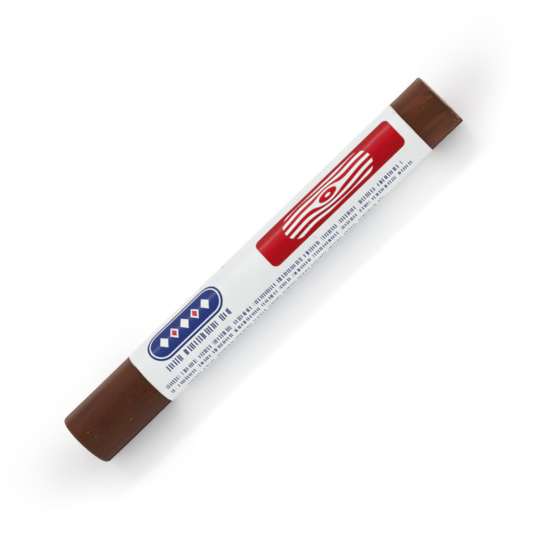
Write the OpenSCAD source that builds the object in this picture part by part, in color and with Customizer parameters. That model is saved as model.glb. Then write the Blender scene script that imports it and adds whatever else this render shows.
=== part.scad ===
// Furniture repair wax stick: a round bar of soft wax with a printed label wrapped round its middle.
// The stick lies on its side along X. The moulded end points to -X and the cut end to +X.
// The origin lies under the middle of the stick, on the surface that it rests on. Sizes are in mm.

/* [Wax stick] */
// Length of the wax, from the moulded end to the cut end
stick_l = 88.9; // [60:0.1:140]
// Diameter of the wax
stick_d = 11.15; // [9:0.05:16]
// Radius that rounds the rim of the moulded end
mould_rim_r = 0.85; // [0.4:0.05:2.5]
// Radius that rounds the rim of the cut end
cut_rim_r = 0.3; // [0.1:0.05:1.5]

/* [Wrap label] */
// Length of bare wax at the moulded end
mould_bare_l = 16.6; // [5:0.1:25]
// Length of bare wax at the cut end
cut_bare_l = 7.6; // [3:0.1:20]
// Thickness of the label
label_t = 0.06; // [0.04:0.01:0.3]
// Width of the lap, where the label's outer end lies over its inner end
lap_w = 4; // [2:0.1:7]
// Stretch of label just before the lap that climbs on to the inner end
lap_climb_w = 0.3; // [0.2:0.05:1]
// Angle from straight down to the edge of the label's inner end, turning towards the back
lap_start_deg = 34; // [20:1:140]

/* [Lap glue] */
// Thickness of the glue under the lap
glue_t = 0.03; // [0.02:0.01:0.1]
// Margin left dry along both edges of the lap
glue_side_margin = 0.5; // [0.1:0.05:0.9]
// Margin left dry at both ends of the lap
glue_end_margin = 1.5; // [0.5:0.1:5]

/* [Colours] */
// Colour of the wax
wax_colour = "#54341f"; // [#54341f, #7a4a2b, #2e2019, #c9a36b]
// Colour of the label
label_colour = "#eceeed"; // [#eceeed, #f3ead2]
// Colour of the glue
glue_colour = "#e6dcb8"; // [#e6dcb8, #ffffff]

/* [Hidden] */
$fn = 96;

stick_r = stick_d / 2;
label_l = stick_l - mould_bare_l - cut_bare_l;
label_outer_r = stick_r + label_t;
lap_inner_r = label_outer_r + glue_t;

// The stick's centre line lies one radius of the wrapped label above the surface.
axis_h = label_outer_r;

// The climb runs a little way into the sheet at both of its ends, and is drawn slightly thinner.
climb_overrun_share = 1 / 3;
climb_thickness_share = 0.7;

climb_deg = arc_deg(lap_climb_w, label_outer_r);
lap_deg = arc_deg(lap_w, lap_inner_r);
glue_margin_deg = arc_deg(glue_side_margin, lap_inner_r);

// Reach of a slice, which goes well past the label at every angle that a slice spans
slice_reach = stick_d;

// Angle of an arc of the given length
function arc_deg(arc_l, r) = arc_l / r * 180 / PI;

// Point of the cross section at a radius and an angle
function at(r, deg) = r * [cos(deg), sin(deg)];

// Lays a shape that stands on the moulded end's plane down along X. Angles then run from straight
// down towards the back.
module lay_down() {
    translate([-stick_l / 2, 0, axis_h])
        rotate([0, 90, 0])
            children();
}

// Cross section of a thin tube
module ring(inner_r, thickness) {
    difference() {
        circle(inner_r + thickness);
        circle(inner_r);
    }
}

// Slice of the cross section between two angles less than half a turn apart
module slice(from_deg, to_deg) {
    polygon([[0, 0], at(slice_reach, from_deg), at(slice_reach, to_deg)]);
}

// Quarter disc that rounds one outer corner of the bar's half profile
module corner_round(r) {
    intersection() {
        circle(r);
        square(r);
    }
}

// Half profile of the bar, with the centre line at the left and the moulded end at the bottom
module stick_profile() {
    translate([0, mould_rim_r])
        square([stick_r, stick_l - mould_rim_r - cut_rim_r]);
    square([stick_r - mould_rim_r, mould_rim_r]);
    translate([stick_r - mould_rim_r, mould_rim_r])
        mirror([0, 1])
            corner_round(mould_rim_r);
    translate([0, stick_l - cut_rim_r])
        square([stick_r - cut_rim_r, cut_rim_r]);
    translate([stick_r - cut_rim_r, stick_l - cut_rim_r])
        corner_round(cut_rim_r);
}

// Solid bar of wax, cast in a round mould and cut off at one end
module wax_stick() {
    color(wax_colour)
        lay_down()
            rotate_extrude()
                stick_profile();
}

// Printed sheet that goes once round the wax, climbs over its own inner edge and ends in the lap
module wrap_label() {
    color(label_colour)
        lay_down()
            translate([0, 0, mould_bare_l])
                linear_extrude(label_l) {
                    label_turn();
                    label_climb();
                    label_lap();
                }
}

// Long stretch of the sheet, which lies on the wax
module label_turn() {
    difference() {
        ring(stick_r, label_t);
        slice(lap_start_deg - climb_deg, lap_start_deg);
    }
}

// Short stretch that lifts the sheet from the wax to the top of the glue
module label_climb() {
    overrun_deg = climb_deg * climb_overrun_share;
    foot_deg = lap_start_deg - climb_deg - overrun_deg;
    head_deg = lap_start_deg + overrun_deg;
    half_t = label_t * climb_thickness_share / 2;
    foot_r = stick_r + label_t / 2;
    head_r = lap_inner_r + label_t / 2;
    polygon([
        at(foot_r - half_t, foot_deg),
        at(foot_r + half_t, foot_deg),
        at(head_r + half_t, head_deg),
        at(head_r - half_t, head_deg)
    ]);
}

// Outer end of the sheet, which lies over the inner end
module label_lap() {
    intersection() {
        ring(lap_inner_r, label_t);
        slice(lap_start_deg, lap_start_deg + lap_deg);
    }
}

// Strip of glue that holds the lap down on the label's inner end
module lap_glue() {
    from_deg = lap_start_deg + glue_margin_deg;
    to_deg = lap_start_deg + lap_deg - glue_margin_deg;
    color(glue_colour)
        lay_down()
            translate([0, 0, mould_bare_l + glue_end_margin])
                linear_extrude(label_l - 2 * glue_end_margin)
                    intersection() {
                        ring(label_outer_r, glue_t);
                        slice(from_deg, to_deg);
                    }
}

wax_stick();
wrap_label();
lap_glue();
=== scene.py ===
"""Furniture repair wax stick with a printed paper label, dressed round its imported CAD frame.

Everything is in metres in the frame of the CAD model. X runs along the stick from the moulded end to
the cut end, Z is up, and the stick lies on the floor at Z = 0. Angles round the stick are in degrees
from straight down, turning towards the back. The middle of the print faces the front and the top, at
PRINT_DEG, and angles counted from there are called face angles. The flat map of a piece is in
millimetres: u along the stick, and v round it from the middle of the print.
"""

import logging
import math
from collections.abc import Callable
from dataclasses import dataclass, field
from enum import Enum
from functools import partial

import bmesh
import bpy
import numpy as np
from mathutils import Matrix, Vector


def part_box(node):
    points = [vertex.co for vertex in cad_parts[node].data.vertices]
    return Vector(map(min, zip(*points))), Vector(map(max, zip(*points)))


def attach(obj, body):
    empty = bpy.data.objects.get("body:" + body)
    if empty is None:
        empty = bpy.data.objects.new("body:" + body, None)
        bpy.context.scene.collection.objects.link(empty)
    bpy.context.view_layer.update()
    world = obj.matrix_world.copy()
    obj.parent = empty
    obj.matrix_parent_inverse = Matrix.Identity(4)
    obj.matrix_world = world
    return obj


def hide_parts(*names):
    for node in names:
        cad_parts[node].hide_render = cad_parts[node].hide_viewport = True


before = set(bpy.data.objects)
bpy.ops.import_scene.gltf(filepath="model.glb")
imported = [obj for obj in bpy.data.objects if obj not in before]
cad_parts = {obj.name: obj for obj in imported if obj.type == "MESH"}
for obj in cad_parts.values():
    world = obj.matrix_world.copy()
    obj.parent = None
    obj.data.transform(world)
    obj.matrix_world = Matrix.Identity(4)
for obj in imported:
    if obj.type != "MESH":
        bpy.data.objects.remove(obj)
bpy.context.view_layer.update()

LOG = logging.getLogger("wax_stick")

MM = 0.001
PRINT_DEG = 210.0
BODY = "root"
FLAT_MAP = "flat"

# Setting of a ramp that eases in and out
SOFT = {"interpolation_type": "SMOOTHSTEP"}

Socket = bpy.types.NodeSocket
Paint = Socket | tuple[float, ...]
Add = Callable[..., Socket]


class RecordSlot(Enum):
    """Material slots of the record for the wax and the paper; nothing in this script uses them."""

    WAX = "brown_wax"
    PAPER = "coated_label_paper"


def linear(colour: str) -> tuple[float, float, float, float]:
    """Turns an sRGB hex colour into the linear values that Blender's sockets hold.

    Args:
        colour: Colour written as "#rrggbb".

    Returns:
        Red, green, blue and alpha.
    """
    parts = (int(colour[i : i + 2], 16) / 255 for i in (1, 3, 5))
    red, green, blue = (p / 12.92 if p <= 0.04045 else ((p + 0.055) / 1.055) ** 2.4 for p in parts)
    return red, green, blue, 1.0


def add_node(
    tree: bpy.types.NodeTree,
    kind: str,
    *inputs: object,
    at: dict[int | str, object] | None = None,
    out: int | str = 0,
    **settings: object,
) -> Socket | None:
    """Adds a node, sets it up, and fills or links its inputs.

    Args:
        tree: Node tree that gets the node.
        kind: Blender's name of the node without "ShaderNode", then its operation if it has one.
        inputs: Value or output socket for each of its first inputs.
        at: Value or output socket for any other input, by number or name.
        out: Output to give back, by number or name.
        settings: Properties of the node.

    Returns:
        The output socket asked for, or None from a node that ends the tree.
    """
    name, _, operation = kind.partition(" ")
    node = tree.nodes.new("ShaderNode" + name)
    if operation:
        settings["operation"] = operation
    for key, value in settings.items():
        setattr(node, key, value)
    for key, value in (dict(enumerate(inputs)) | (at or {})).items():
        if isinstance(value, Socket):
            tree.links.new(value, node.inputs[key])
        else:
            node.inputs[key].default_value = value
    return node.outputs[out] if node.outputs else None


def blank_material(name: str) -> tuple[bpy.types.Material, Add]:
    """Makes a material with an empty node tree.

    Args:
        name: Name of the material.

    Returns:
        The material, and add_node for its tree.
    """
    material = bpy.data.materials.new(name)
    material.use_nodes = True
    material.node_tree.nodes.clear()
    return material, partial(add_node, material.node_tree)


def smooth(value: np.ndarray, start: float, end: float) -> np.ndarray:
    """Rises smoothly from 0 at start to 1 at end, or falls where end lies before start."""
    share = np.clip((value - start) / (end - start), 0.0, 1.0)
    return share * share * (3 - 2 * share)


def window(value: np.ndarray, rise: tuple[float, float], fall: tuple[float, float]) -> np.ndarray:
    """Rises smoothly from 0 to 1 over one stretch, and falls back over another."""
    return smooth(value, *rise) * smooth(value, *fall)


def from_print(deg: np.ndarray) -> np.ndarray:
    """Angle counted from the middle of the print, in radians."""
    return np.radians(deg - PRINT_DEG)


@dataclass(frozen=True)
class Bar:
    """Sizes that the wax and the label share, in metres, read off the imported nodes.

    Attributes:
        length: Length of the wax.
        radius: Radius of the wax.
        axis_height: Height of the stick's centre line.
        label_from: Place of the label's edge at the moulded end.
        label_to: Place of its edge at the cut end.
        label_radius: Radius over the label.
    """

    length: float
    radius: float
    axis_height: float
    label_from: float
    label_to: float
    label_radius: float

    @classmethod
    def from_frame(cls) -> "Bar":
        """Reads the sizes off the boxes of the wax and the label.

        Returns:
            The sizes.
        """
        low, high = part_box("wax_stick")
        label_low, label_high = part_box("wrap_label")
        return cls(
            length=high.x - low.x,
            radius=(high.z - low.z) / 2,
            axis_height=(high.z + low.z) / 2,
            label_from=label_low.x,
            label_to=label_high.x,
            label_radius=(label_high.z - label_low.z) / 2,
        )

    def place(self, x: np.ndarray, radius: np.ndarray, deg: np.ndarray) -> np.ndarray:
        """Points at the given places along the stick, radii and angles round it."""
        turn = np.radians(deg)
        return np.stack([x, radius * np.sin(turn), self.axis_height - radius * np.cos(turn)], -1)

    def past_label(self, add: Add, u: Socket) -> Socket:
        """Finds how far a place lies past the nearer edge of the label, in millimetres.

        Args:
            add: Adds a node to the material.
            u: Place along the stick, in millimetres.

        Returns:
            The distance, which is below 0 where the label is.
        """
        middle = (self.label_from + self.label_to) / 2 / MM
        half = (self.label_to - self.label_from) / 2 / MM
        off_middle = add("Math SUBTRACT", u, middle)
        far = add("Math ABSOLUTE", off_middle)
        return add("Math SUBTRACT", far, half)


@dataclass(frozen=True)
class Relief:
    """Gentle unevenness of a surface, as a sum of seeded waves that closes round the stick.

    Attributes:
        seed: Seed of the random draws.
        height: Standard rise and fall, in metres.
        shortest: Shortest wave along the stick, in metres.
        longest: Longest wave along the stick, in metres.
        turns: Most waves round the stick.
        waves: Number of waves in the sum.
    """

    seed: int
    height: float
    shortest: float
    longest: float
    turns: int
    waves: int = 32

    def at(self, x: np.ndarray, deg: np.ndarray) -> np.ndarray:
        """Works out the height of the relief.

        Args:
            x: Places along the stick.
            deg: Angles round it.

        Returns:
            Height at each place.
        """
        draw = np.random.default_rng(self.seed)
        total = np.zeros(np.broadcast(x, deg).shape)
        for _ in range(self.waves):
            wave = draw.uniform(self.shortest, self.longest) * draw.choice([-1, 1])
            turns = draw.integers(0, self.turns + 1)
            start = draw.uniform(0, math.tau)
            total += np.cos(math.tau * x / wave + turns * np.radians(deg) + start)
        # The square of a wave is a half on average, so this gives the sum its standard height
        return total * self.height * math.sqrt(2 / self.waves)


@dataclass(frozen=True)
class Dent:
    """Nick or chip that was knocked out of the wax.

    Attributes:
        x: Place along the stick, in millimetres.
        face_deg: Face angle of its middle.
        along: Half of its length along the stick, in millimetres.
        round: Half of its width round the stick, in millimetres.
        depth: Depth in its middle, in millimetres.
    """

    x: float
    face_deg: float
    along: float
    round: float
    depth: float

    def at(self, x: np.ndarray, deg: np.ndarray, radius: float) -> np.ndarray:
        """Works out the depth of the dent.

        Args:
            x: Places along the stick, in metres.
            deg: Angles round it.
            radius: Radius of the stick, in metres.

        Returns:
            Depth at each place, in metres.
        """
        turned = (deg - PRINT_DEG - self.face_deg + 180) % 360 - 180
        off_x = (x / MM - self.x) / self.along
        off_round = np.radians(turned) * radius / MM / self.round
        # The power makes a bowl that runs out smoothly into the skin
        return self.depth * MM * np.clip(1 - off_x**2 - off_round**2, 0, 1) ** 1.5


@dataclass
class Skin:
    """Closed mesh under way, with its flat map and the material slot of each face.

    Attributes:
        points: Places of the points, one array after another.
        faces: Numbers of each face's points.
        flat: Place of each corner of each face on the flat map.
        slots: Material slot of each face.
    """

    points: list[np.ndarray] = field(default_factory=list)
    faces: list[list[int]] = field(default_factory=list)
    flat: list[tuple[float, float]] = field(default_factory=list)
    slots: list[int] = field(default_factory=list)

    def add_face(self, corners: list[int], flat: list[tuple[float, float]], slot: int = 0) -> None:
        """Adds one face.

        Args:
            corners: Numbers of its points.
            flat: Place of each corner on the flat map.
            slot: Material slot of the face.
        """
        self.faces.append(corners)
        self.flat.extend(flat)
        self.slots.append(slot)

    def add_grid(self, points: np.ndarray, flat: np.ndarray, slots: list[int]) -> None:
        """Adds a grid of points that closes round the stick, with a face in each cell.

        Args:
            points: Places of the points, row by row along the stick.
            flat: Flat map of the points, with one column more to close the last cell.
            slots: Material slot of each column of faces.
        """
        rows, columns = points.shape[:2]
        first = sum(len(p) for p in self.points)
        self.points.append(points.reshape(-1, 3))
        for row in range(rows - 1):
            for column in range(columns):
                near, far = first + row * columns, first + (row + 1) * columns
                after = (column + 1) % columns
                corners = [near + column, near + after, far + after, far + column]
                places = [(row, column), (row, column + 1), (row + 1, column + 1), (row + 1, column)]
                self.add_face(corners, [tuple(flat[p]) for p in places], slots[column])

    def make(self, name: str, sharp_deg: float) -> bpy.types.Object:
        """Makes the object, with smooth faces that meet sharply above an angle.

        Args:
            name: Name of the piece.
            sharp_deg: Least angle between two faces that shows as an edge.

        Returns:
            The new object, linked to the scene.
        """
        mesh = bpy.data.meshes.new(name)
        mesh.from_pydata(np.concatenate(self.points).tolist(), [], self.faces)
        layer = mesh.uv_layers.new(name=FLAT_MAP)
        layer.uv.foreach_set("vector", np.array(self.flat, np.float32).ravel())
        mesh.polygons.foreach_set("material_index", self.slots)
        mesh.polygons.foreach_set("use_smooth", [True] * len(self.faces))
        work = bmesh.new()
        work.from_mesh(mesh)
        bmesh.ops.recalc_face_normals(work, faces=work.faces)
        work.to_mesh(mesh)
        work.free()
        mesh.set_sharp_from_angle(angle=math.radians(sharp_deg))
        piece = bpy.data.objects.new(name, mesh)
        bpy.context.scene.collection.objects.link(piece)
        return piece


@dataclass(frozen=True)
class Glaze:
    """Colour laid over another along a pattern.

    Attributes:
        colour: Colour as sRGB hex.
        start: Value of the pattern at which the colour sets in.
        full: Value of the pattern at which it is fullest.
        most: Share of the colour there.
    """

    colour: str
    start: float = 0.0
    full: float = 1.0
    most: float = 1.0

    def lay(self, add: Add, pattern: Socket, under: Paint, **ramp: object) -> Socket:
        """Lays the colour over another.

        Args:
            add: Adds a node to the material.
            pattern: Pattern that the colour follows.
            under: Colour under it.
            ramp: How the colour comes in, if not evenly.

        Returns:
            The mixed colour.
        """
        share = add("MapRange", pattern, self.start, self.full, 0.0, self.most, **ramp)
        ends = {"A": under, "B": linear(self.colour)}
        return add("Mix", share, at=ends, out="Result", data_type="RGBA")


@dataclass(frozen=True)
class Smudge:
    """Oval mark on a surface, placed on its flat map.

    Attributes:
        x: Place along the stick, in millimetres.
        face_deg: Face angle of its middle.
        length: Length, in millimetres.
        width: Width, in millimetres.
        colour: Colour as sRGB hex.
        strength: Share of the colour in its middle.
        turn_deg: Turn of its length away from the stick's length.
        core: Share of its size inside which it is at full strength.
    """

    x: float
    face_deg: float
    length: float
    width: float
    colour: str
    strength: float
    turn_deg: float = 0.0
    core: float = 0.45

    def paint(self, add: Add, flat: Socket, under: Socket, radius: float) -> Socket:
        """Lays the mark over a colour.

        Args:
            add: Adds a node to the material.
            flat: Place on the flat map, in millimetres.
            under: Colour under the mark.
            radius: Radius of the surface, in metres.

        Returns:
            The colour with the mark on it.
        """
        where = {
            "Location": (self.x, math.radians(self.face_deg) * radius / MM, 0),
            "Rotation": (0, 0, math.radians(self.turn_deg)),
            "Scale": (self.length / 2, self.width / 2, 1),
        }
        own = add("Mapping", flat, at=where, vector_type="TEXTURE")
        far = add("VectorMath LENGTH", own, out="Value")
        return Glaze(self.colour, 1.0, self.core, self.strength).lay(add, far, under, **SOFT)


class Pattern(Enum):
    """Patterns that the tints of the wax follow."""

    ALONG = "place along the stick"
    STREAK = "drawn streaks"
    CLOUD = "settled clouds"
    SECOND_CLOUD = "clouds of another pigment"
    FLECK = "flecks"
    GRAIN = "grain"
    # Painted light: the upper side is painted lighter and warmer where the light falls
    RUBBED = "rubbed upper side"
    # Greyer towards the lower side
    DUSTY = "dusty lower side"
    # Painted highlight: a pale band along the back, where the top rim catches the light
    SWEATED = "sweated back"
    # Painted shade: the foot, low down where the stick meets the table, is painted dark
    GRIMY = "grimy foot"


@dataclass(frozen=True)
class WaxNoise:
    """Uneven pattern in the wax.

    Attributes:
        pattern: Which pattern it is.
        size_mm: Size of its features, in millimetres.
        squeeze: Share of its frequency that is left along the stick.
        detail: Number of finer layers.
        rough: Strength of the finer layers.
        shift: Place on a fourth axis, or 0 for none.
    """

    pattern: Pattern
    size_mm: float
    squeeze: float
    detail: float
    rough: float = 0.5
    shift: float = 0.0

    def make(self, add: Add, place: Socket) -> Socket:
        """Makes the pattern.

        Args:
            add: Adds a node to the material.
            place: Place in the wax, in millimetres.

        Returns:
            The pattern, mostly between 0.3 and 0.7.
        """
        look = {
            "Vector": add("VectorMath MULTIPLY", place, (self.squeeze, 1, 1)),
            "Scale": 1 / self.size_mm,
            "Detail": self.detail,
            "Roughness": self.rough,
        }
        if self.shift:
            return add("TexNoise", at=look | {"W": self.shift}, noise_dimensions="4D")
        return add("TexNoise", at=look)


@dataclass(frozen=True)
class WaxBand:
    """Band along the side of the wax, between two places round it on the flat map.

    Attributes:
        pattern: Which pattern it is.
        rise: Places where it sets in and is full, in millimetres.
        fall: Places where it ends and is still full, in millimetres.
        wavy: Whether its edges follow the clouds.
    """

    pattern: Pattern
    rise: tuple[float, float]
    fall: tuple[float, float]
    wavy: bool

    def make(self, add: Add, around: Socket, on_side: Socket) -> Socket:
        """Makes the band.

        Args:
            add: Adds a node to the material.
            around: Place round the stick, in millimetres.
            on_side: 1 on the round side and 0 on both end faces.

        Returns:
            1 in the band and 0 outside it.
        """
        share = on_side
        for ramp in (self.rise, self.fall):
            share = add("Math MULTIPLY", share, add("MapRange", around, *ramp, **SOFT))
        return share


@dataclass(frozen=True)
class MouldedWax:
    """Hard filler wax, pigmented brown, cast in a round mould and cut off at one end.

    The pigment settles in clouds and flecks as the wax cools, which mottles the brown with a redder
    and a more olive tint, and the brown is a little lighter towards the cut end. Pushing the stick
    out of the mould draws fine lines along it. The upper side is painted lighter and warmer as
    painted light, and the lower side is greyer. Painted shade darkens the foot, a painted highlight
    lightens the back and another pales the cut rim, and the surface has the low, broad gloss of wax
    with a faint haze.
    """

    name: str = "pigmented_wax_moulded"
    body: str = "#4a2716"
    rim_highlight: str = "#cdbca9"
    haze: str = "#c8967e"
    tints: tuple[tuple[Pattern, Glaze], ...] = (
        # A little lighter towards the cut end
        (Pattern.ALONG, Glaze("#522c19", -20.0, 35.0)),
        # Painted light: lighter, warmer colour on the upper side where the light falls
        (Pattern.RUBBED, Glaze("#603727")),
        # Greyer colour towards the lower side
        (Pattern.DUSTY, Glaze("#50342b", most=0.5)),
        (Pattern.CLOUD, Glaze("#4f2a22", 0.48, 0.72, 0.50)),
        (Pattern.SECOND_CLOUD, Glaze("#46301c", 0.48, 0.72, 0.45)),
        (Pattern.FLECK, Glaze("#592a26", 0.50, 0.64, 0.50)),
        (Pattern.FLECK, Glaze("#46351c", 0.48, 0.34, 0.50)),
        (Pattern.STREAK, Glaze("#371c14", 0.50, 0.75, 0.40)),
        (Pattern.GRAIN, Glaze("#8a4a28", 0.56, 0.74, 0.30)),
        # Painted highlight: pale colour along the back, where the top rim catches the light
        (Pattern.SWEATED, Glaze("#c09a88", most=0.23)),
        # Painted shade: dark colour along the foot
        (Pattern.GRIMY, Glaze("#21110e", most=0.75)),
    )
    noises: tuple[WaxNoise, ...] = (
        WaxNoise(Pattern.STREAK, 0.8, 1 / 14.0, 4.0, 0.62),
        WaxNoise(Pattern.CLOUD, 4.5, 0.45, 3.0, 0.55),
        WaxNoise(Pattern.SECOND_CLOUD, 4.5 / 1.7, 0.45, 3.0, shift=7.3),
        WaxNoise(Pattern.FLECK, 1.1, 0.45, 4.0, 0.72),
        # The real grain is finer than a pixel, so it is drawn as coarse as it needs to show
        WaxNoise(Pattern.GRAIN, 0.22, 1.0, 2.0),
    )
    bands: tuple[WaxBand, ...] = (
        # Band of the upper side that is painted lighter where the light falls
        WaxBand(Pattern.RUBBED, (0.2, -3.6), (-12.5, -9.0), wavy=True),
        # Band of the lower side that is greyer
        WaxBand(Pattern.DUSTY, (2.0, 4.6), (16.0, 12.0), wavy=True),
        # Band along the back that carries the painted highlight
        WaxBand(Pattern.SWEATED, (-4.6, -7.1), (-12.0, -8.2), wavy=False),
        # Band along the foot that carries the painted shade
        WaxBand(Pattern.GRIMY, (6.5, 7.4), (14.0, 10.0), wavy=False),
    )
    # How far the clouds make the wavy bands swing
    band_swing_mm: float = 2.4
    # Depths under the round side between which the look of an end face turns into the side's
    side_depths_mm: tuple[float, float] = (0.9, 0.2)
    # Painted highlight where the cut rim catches the light: it sets in and is full at these depths
    # and distances from the end
    rim_highlight_depths_mm: tuple[float, float] = (0.75, 0.4)
    rim_highlight_from_end_mm: tuple[float, float] = (0.12, 0.03)
    # Round the stick it fades away from a middle, and clouds make it patchy. Each ramp holds
    # two values of its pattern, then the share of the painted highlight at both.
    rim_highlight_middle_mm: float = -3.0
    rim_highlight_fade: tuple[float, ...] = (3.3, 6.4, 1.0, 0.15)
    rim_highlight_patchy: tuple[float, ...] = (0.3, 0.6, 0.7, 1.0)
    # Painted shade in the corner beside the label, by the distance from its edge
    painted_corner_shade: Glaze = Glaze("#371c14", 0.35, 0.05, 0.7)
    roughness: float = 0.5
    # What the streaks add to the roughness at these two values, and what the band of painted shade at
    # the foot adds
    streak_values: tuple[float, float] = (0.3, 0.7)
    roughness_spread: tuple[float, float] = (-0.05, 0.08)
    matted: float = 0.4
    specular: float = 0.10
    ior: float = 1.44
    sheen: float = 0.05
    sheen_roughness: float = 0.5
    bump: float = 0.35
    bump_mm: float = 0.02
    # Height of the streaks in the fine relief, next to the grain's
    streak_height: float = 0.35
    smudges: tuple[Smudge, ...] = (
        Smudge(-41.95, -8.7, 0.32, 0.26, "#b79c86", 0.45),
        Smudge(-41.54, 8.1, 0.28, 0.26, "#a88c78", 0.4),
        Smudge(-34.88, 30.2, 0.34, 0.26, "#b39a84", 0.45),
        Smudge(-29.53, 9.8, 1.3, 0.5, "#26140f", 0.45, 12.0),
        Smudge(-38.4, 2.0, 5.0, 3.4, "#3f221a", 0.4, 20.0),
        Smudge(-43.3, -21.0, 2.2, 1.8, "#6a2f18", 0.2, 30.0),
        Smudge(41.7, -20.5, 5.2, 1.3, "#6b3a16", 0.6, 11.0),
        Smudge(43.5, -15.0, 0.8, 0.6, "#8f5230", 0.45, 20.0),
        Smudge(39.4, 56.0, 3.0, 1.2, "#7a4526", 0.5),
        Smudge(40.6, 68.0, 9.5, 3.0, "#7a3f20", 0.4),
        Smudge(42.6, 48.0, 2.2, 2.0, "#4a2a1e", 0.5),
        Smudge(43.0, 38.0, 4.0, 2.2, "#5e3830", 0.4, 60.0),
        Smudge(40.6, 23.0, 8.0, 1.5, "#6a4028", 0.5, 4.0),
        Smudge(40.3, 45.0, 8.5, 3.0, "#6a3b20", 0.5, -5.0),
        Smudge(41.0, -38.0, 10.0, 4.2, "#6e3c2c", 0.3, 3.0),
        Smudge(41.5, -58.0, 9.0, 2.4, "#85503f", 0.35),
        Smudge(40.5, -27.0, 6.5, 2.6, "#713a26", 0.35, 8.0),
        Smudge(40.5, -12.0, 7.0, 1.8, "#6c3820", 0.25, 8.0),
        Smudge(44.36, 50.0, 0.5, 4.6, "#a8704a", 0.45),
        Smudge(44.28, 51.5, 0.5, 0.7, "#c67a3e", 0.7),
        Smudge(43.5, 53.0, 0.55, 1.9, "#86472b", 0.45),
        Smudge(43.57, 66.0, 0.45, 0.8, "#3d241c", 0.5),
        Smudge(44.04, 33.8, 0.36, 0.36, "#a07468", 0.5),
        Smudge(40.84, -20.7, 0.55, 0.45, "#33200f", 0.55),
        Smudge(43.95, -11.8, 0.7, 0.5, "#2f241c", 0.5),
        Smudge(44.05, -28.0, 0.36, 0.36, "#a07262", 0.45),
        Smudge(41.93, -15.3, 0.3, 0.3, "#8c6050", 0.45),
        Smudge(40.88, -9.8, 0.3, 0.3, "#8c6050", 0.4),
        Smudge(44.00, 67.0, 0.7, 0.8, "#a85c38", 0.6),
        Smudge(43.85, -72.0, 1.0, 1.2, "#b59a86", 0.35),
        Smudge(41.9, -10.5, 0.24, 0.2, "#c0a58c", 0.35),
        Smudge(42.9, -19.0, 0.22, 0.24, "#bfa48e", 0.35),
    )

    def build(self, bar: Bar) -> bpy.types.Material:
        """Builds the material for a bar of wax.

        Args:
            bar: Sizes of the stick.

        Returns:
            The material.
        """
        material, add = blank_material(self.name)
        place = add("VectorMath SCALE", add("TexCoord", out="Object"), at={"Scale": 1 / MM})
        flat = add("UVMap", uv_map=FLAT_MAP)
        along, around, _ = add("SeparateXYZ", flat).node.outputs
        off_axis = add("VectorMath SUBTRACT", place, (0, 0, bar.axis_height / MM))
        section = add("VectorMath MULTIPLY", off_axis, (0, 1, 1))
        radial = add("VectorMath LENGTH", section, out="Value")
        depth = add("Math SUBTRACT", bar.radius / MM, radial)
        on_side = add("MapRange", depth, *self.side_depths_mm)
        patterns = self.patterns(add, place, along, around, on_side)
        colour: Paint = linear(self.body)
        for pattern, tint in self.tints:
            colour = tint.lay(add, patterns[pattern], colour)
        # Painted highlight where the cut rim catches the light
        share = self.painted_rim_highlight(add, along, around, depth, patterns[Pattern.SECOND_CLOUD], bar)
        colour = Glaze(self.rim_highlight).lay(add, share, colour)
        # Painted shade in the corner beside the label's edges
        colour = self.painted_corner_shade.lay(add, bar.past_label(add, along), colour, **SOFT)
        marked = colour
        for smudge in self.smudges:
            marked = smudge.paint(add, flat, marked, bar.radius)
        ends = {"A": colour, "B": marked}
        colour = add("Mix", on_side, at=ends, out="Result", data_type="RGBA")
        streak, grain = patterns[Pattern.STREAK], patterns[Pattern.GRAIN]
        spread = (self.roughness + extra for extra in self.roughness_spread)
        glossy = add("MapRange", streak, *self.streak_values, *spread)
        # The band of painted shade at the foot is also rougher
        rough = add("Math MULTIPLY_ADD", patterns[Pattern.GRIMY], self.matted, glossy)
        fine = add("Math MULTIPLY_ADD", streak, self.streak_height, grain)
        relief = {"Strength": self.bump, "Distance": self.bump_mm * MM, "Height": fine}
        look = {
            "Base Color": colour,
            "Roughness": rough,
            "Specular IOR Level": self.specular,
            "IOR": self.ior,
            "Sheen Weight": self.sheen,
            "Sheen Roughness": self.sheen_roughness,
            "Sheen Tint": linear(self.haze),
            "Normal": add("Bump", at=relief),
        }
        add("OutputMaterial", add("BsdfPrincipled", at=look))
        return material

    def patterns(
        self, add: Add, place: Socket, along: Socket, around: Socket, on_side: Socket
    ) -> dict[Pattern, Socket]:
        """Makes the patterns that the tints follow.

        Args:
            add: Adds a node to the material.
            place: Place in the wax, in millimetres.
            along: Place along the stick, in millimetres.
            around: Place round the stick, in millimetres.
            on_side: 1 on the round side and 0 on both end faces.

        Returns:
            Each pattern.
        """
        made = {Pattern.ALONG: along}
        for noise in self.noises:
            made[noise.pattern] = noise.make(add, place)
        cloud = made[Pattern.SECOND_CLOUD]
        swung = add("Math MULTIPLY_ADD", cloud, self.band_swing_mm, around)
        for band in self.bands:
            made[band.pattern] = band.make(add, swung if band.wavy else around, on_side)
        return made

    def painted_rim_highlight(
        self, add: Add, along: Socket, around: Socket, depth: Socket, cloud: Socket, bar: Bar
    ) -> Socket:
        """Finds where the cut rim is painted pale, a painted highlight where it catches the light.

        Args:
            add: Adds a node to the material.
            along: Place along the stick, in millimetres.
            around: Place round the stick, in millimetres.
            depth: Depth under the round side, in millimetres.
            cloud: Clouds that make the rim patchy.
            bar: Sizes of the stick.

        Returns:
            1 where the rim is palest and 0 away from it.
        """
        start, full = (bar.length / 2 / MM - reach for reach in self.rim_highlight_from_end_mm)
        rim_highlight = add("MapRange", along, start, full, **SOFT)
        off_middle = add("Math SUBTRACT", around, self.rim_highlight_middle_mm)
        parts = (
            add("MapRange", depth, *self.rim_highlight_depths_mm),
            add("MapRange", add("Math ABSOLUTE", off_middle), *self.rim_highlight_fade, **SOFT),
            add("MapRange", cloud, *self.rim_highlight_patchy),
        )
        for part in parts:
            rim_highlight = add("Math MULTIPLY", rim_highlight, part)
        return rim_highlight


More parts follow.
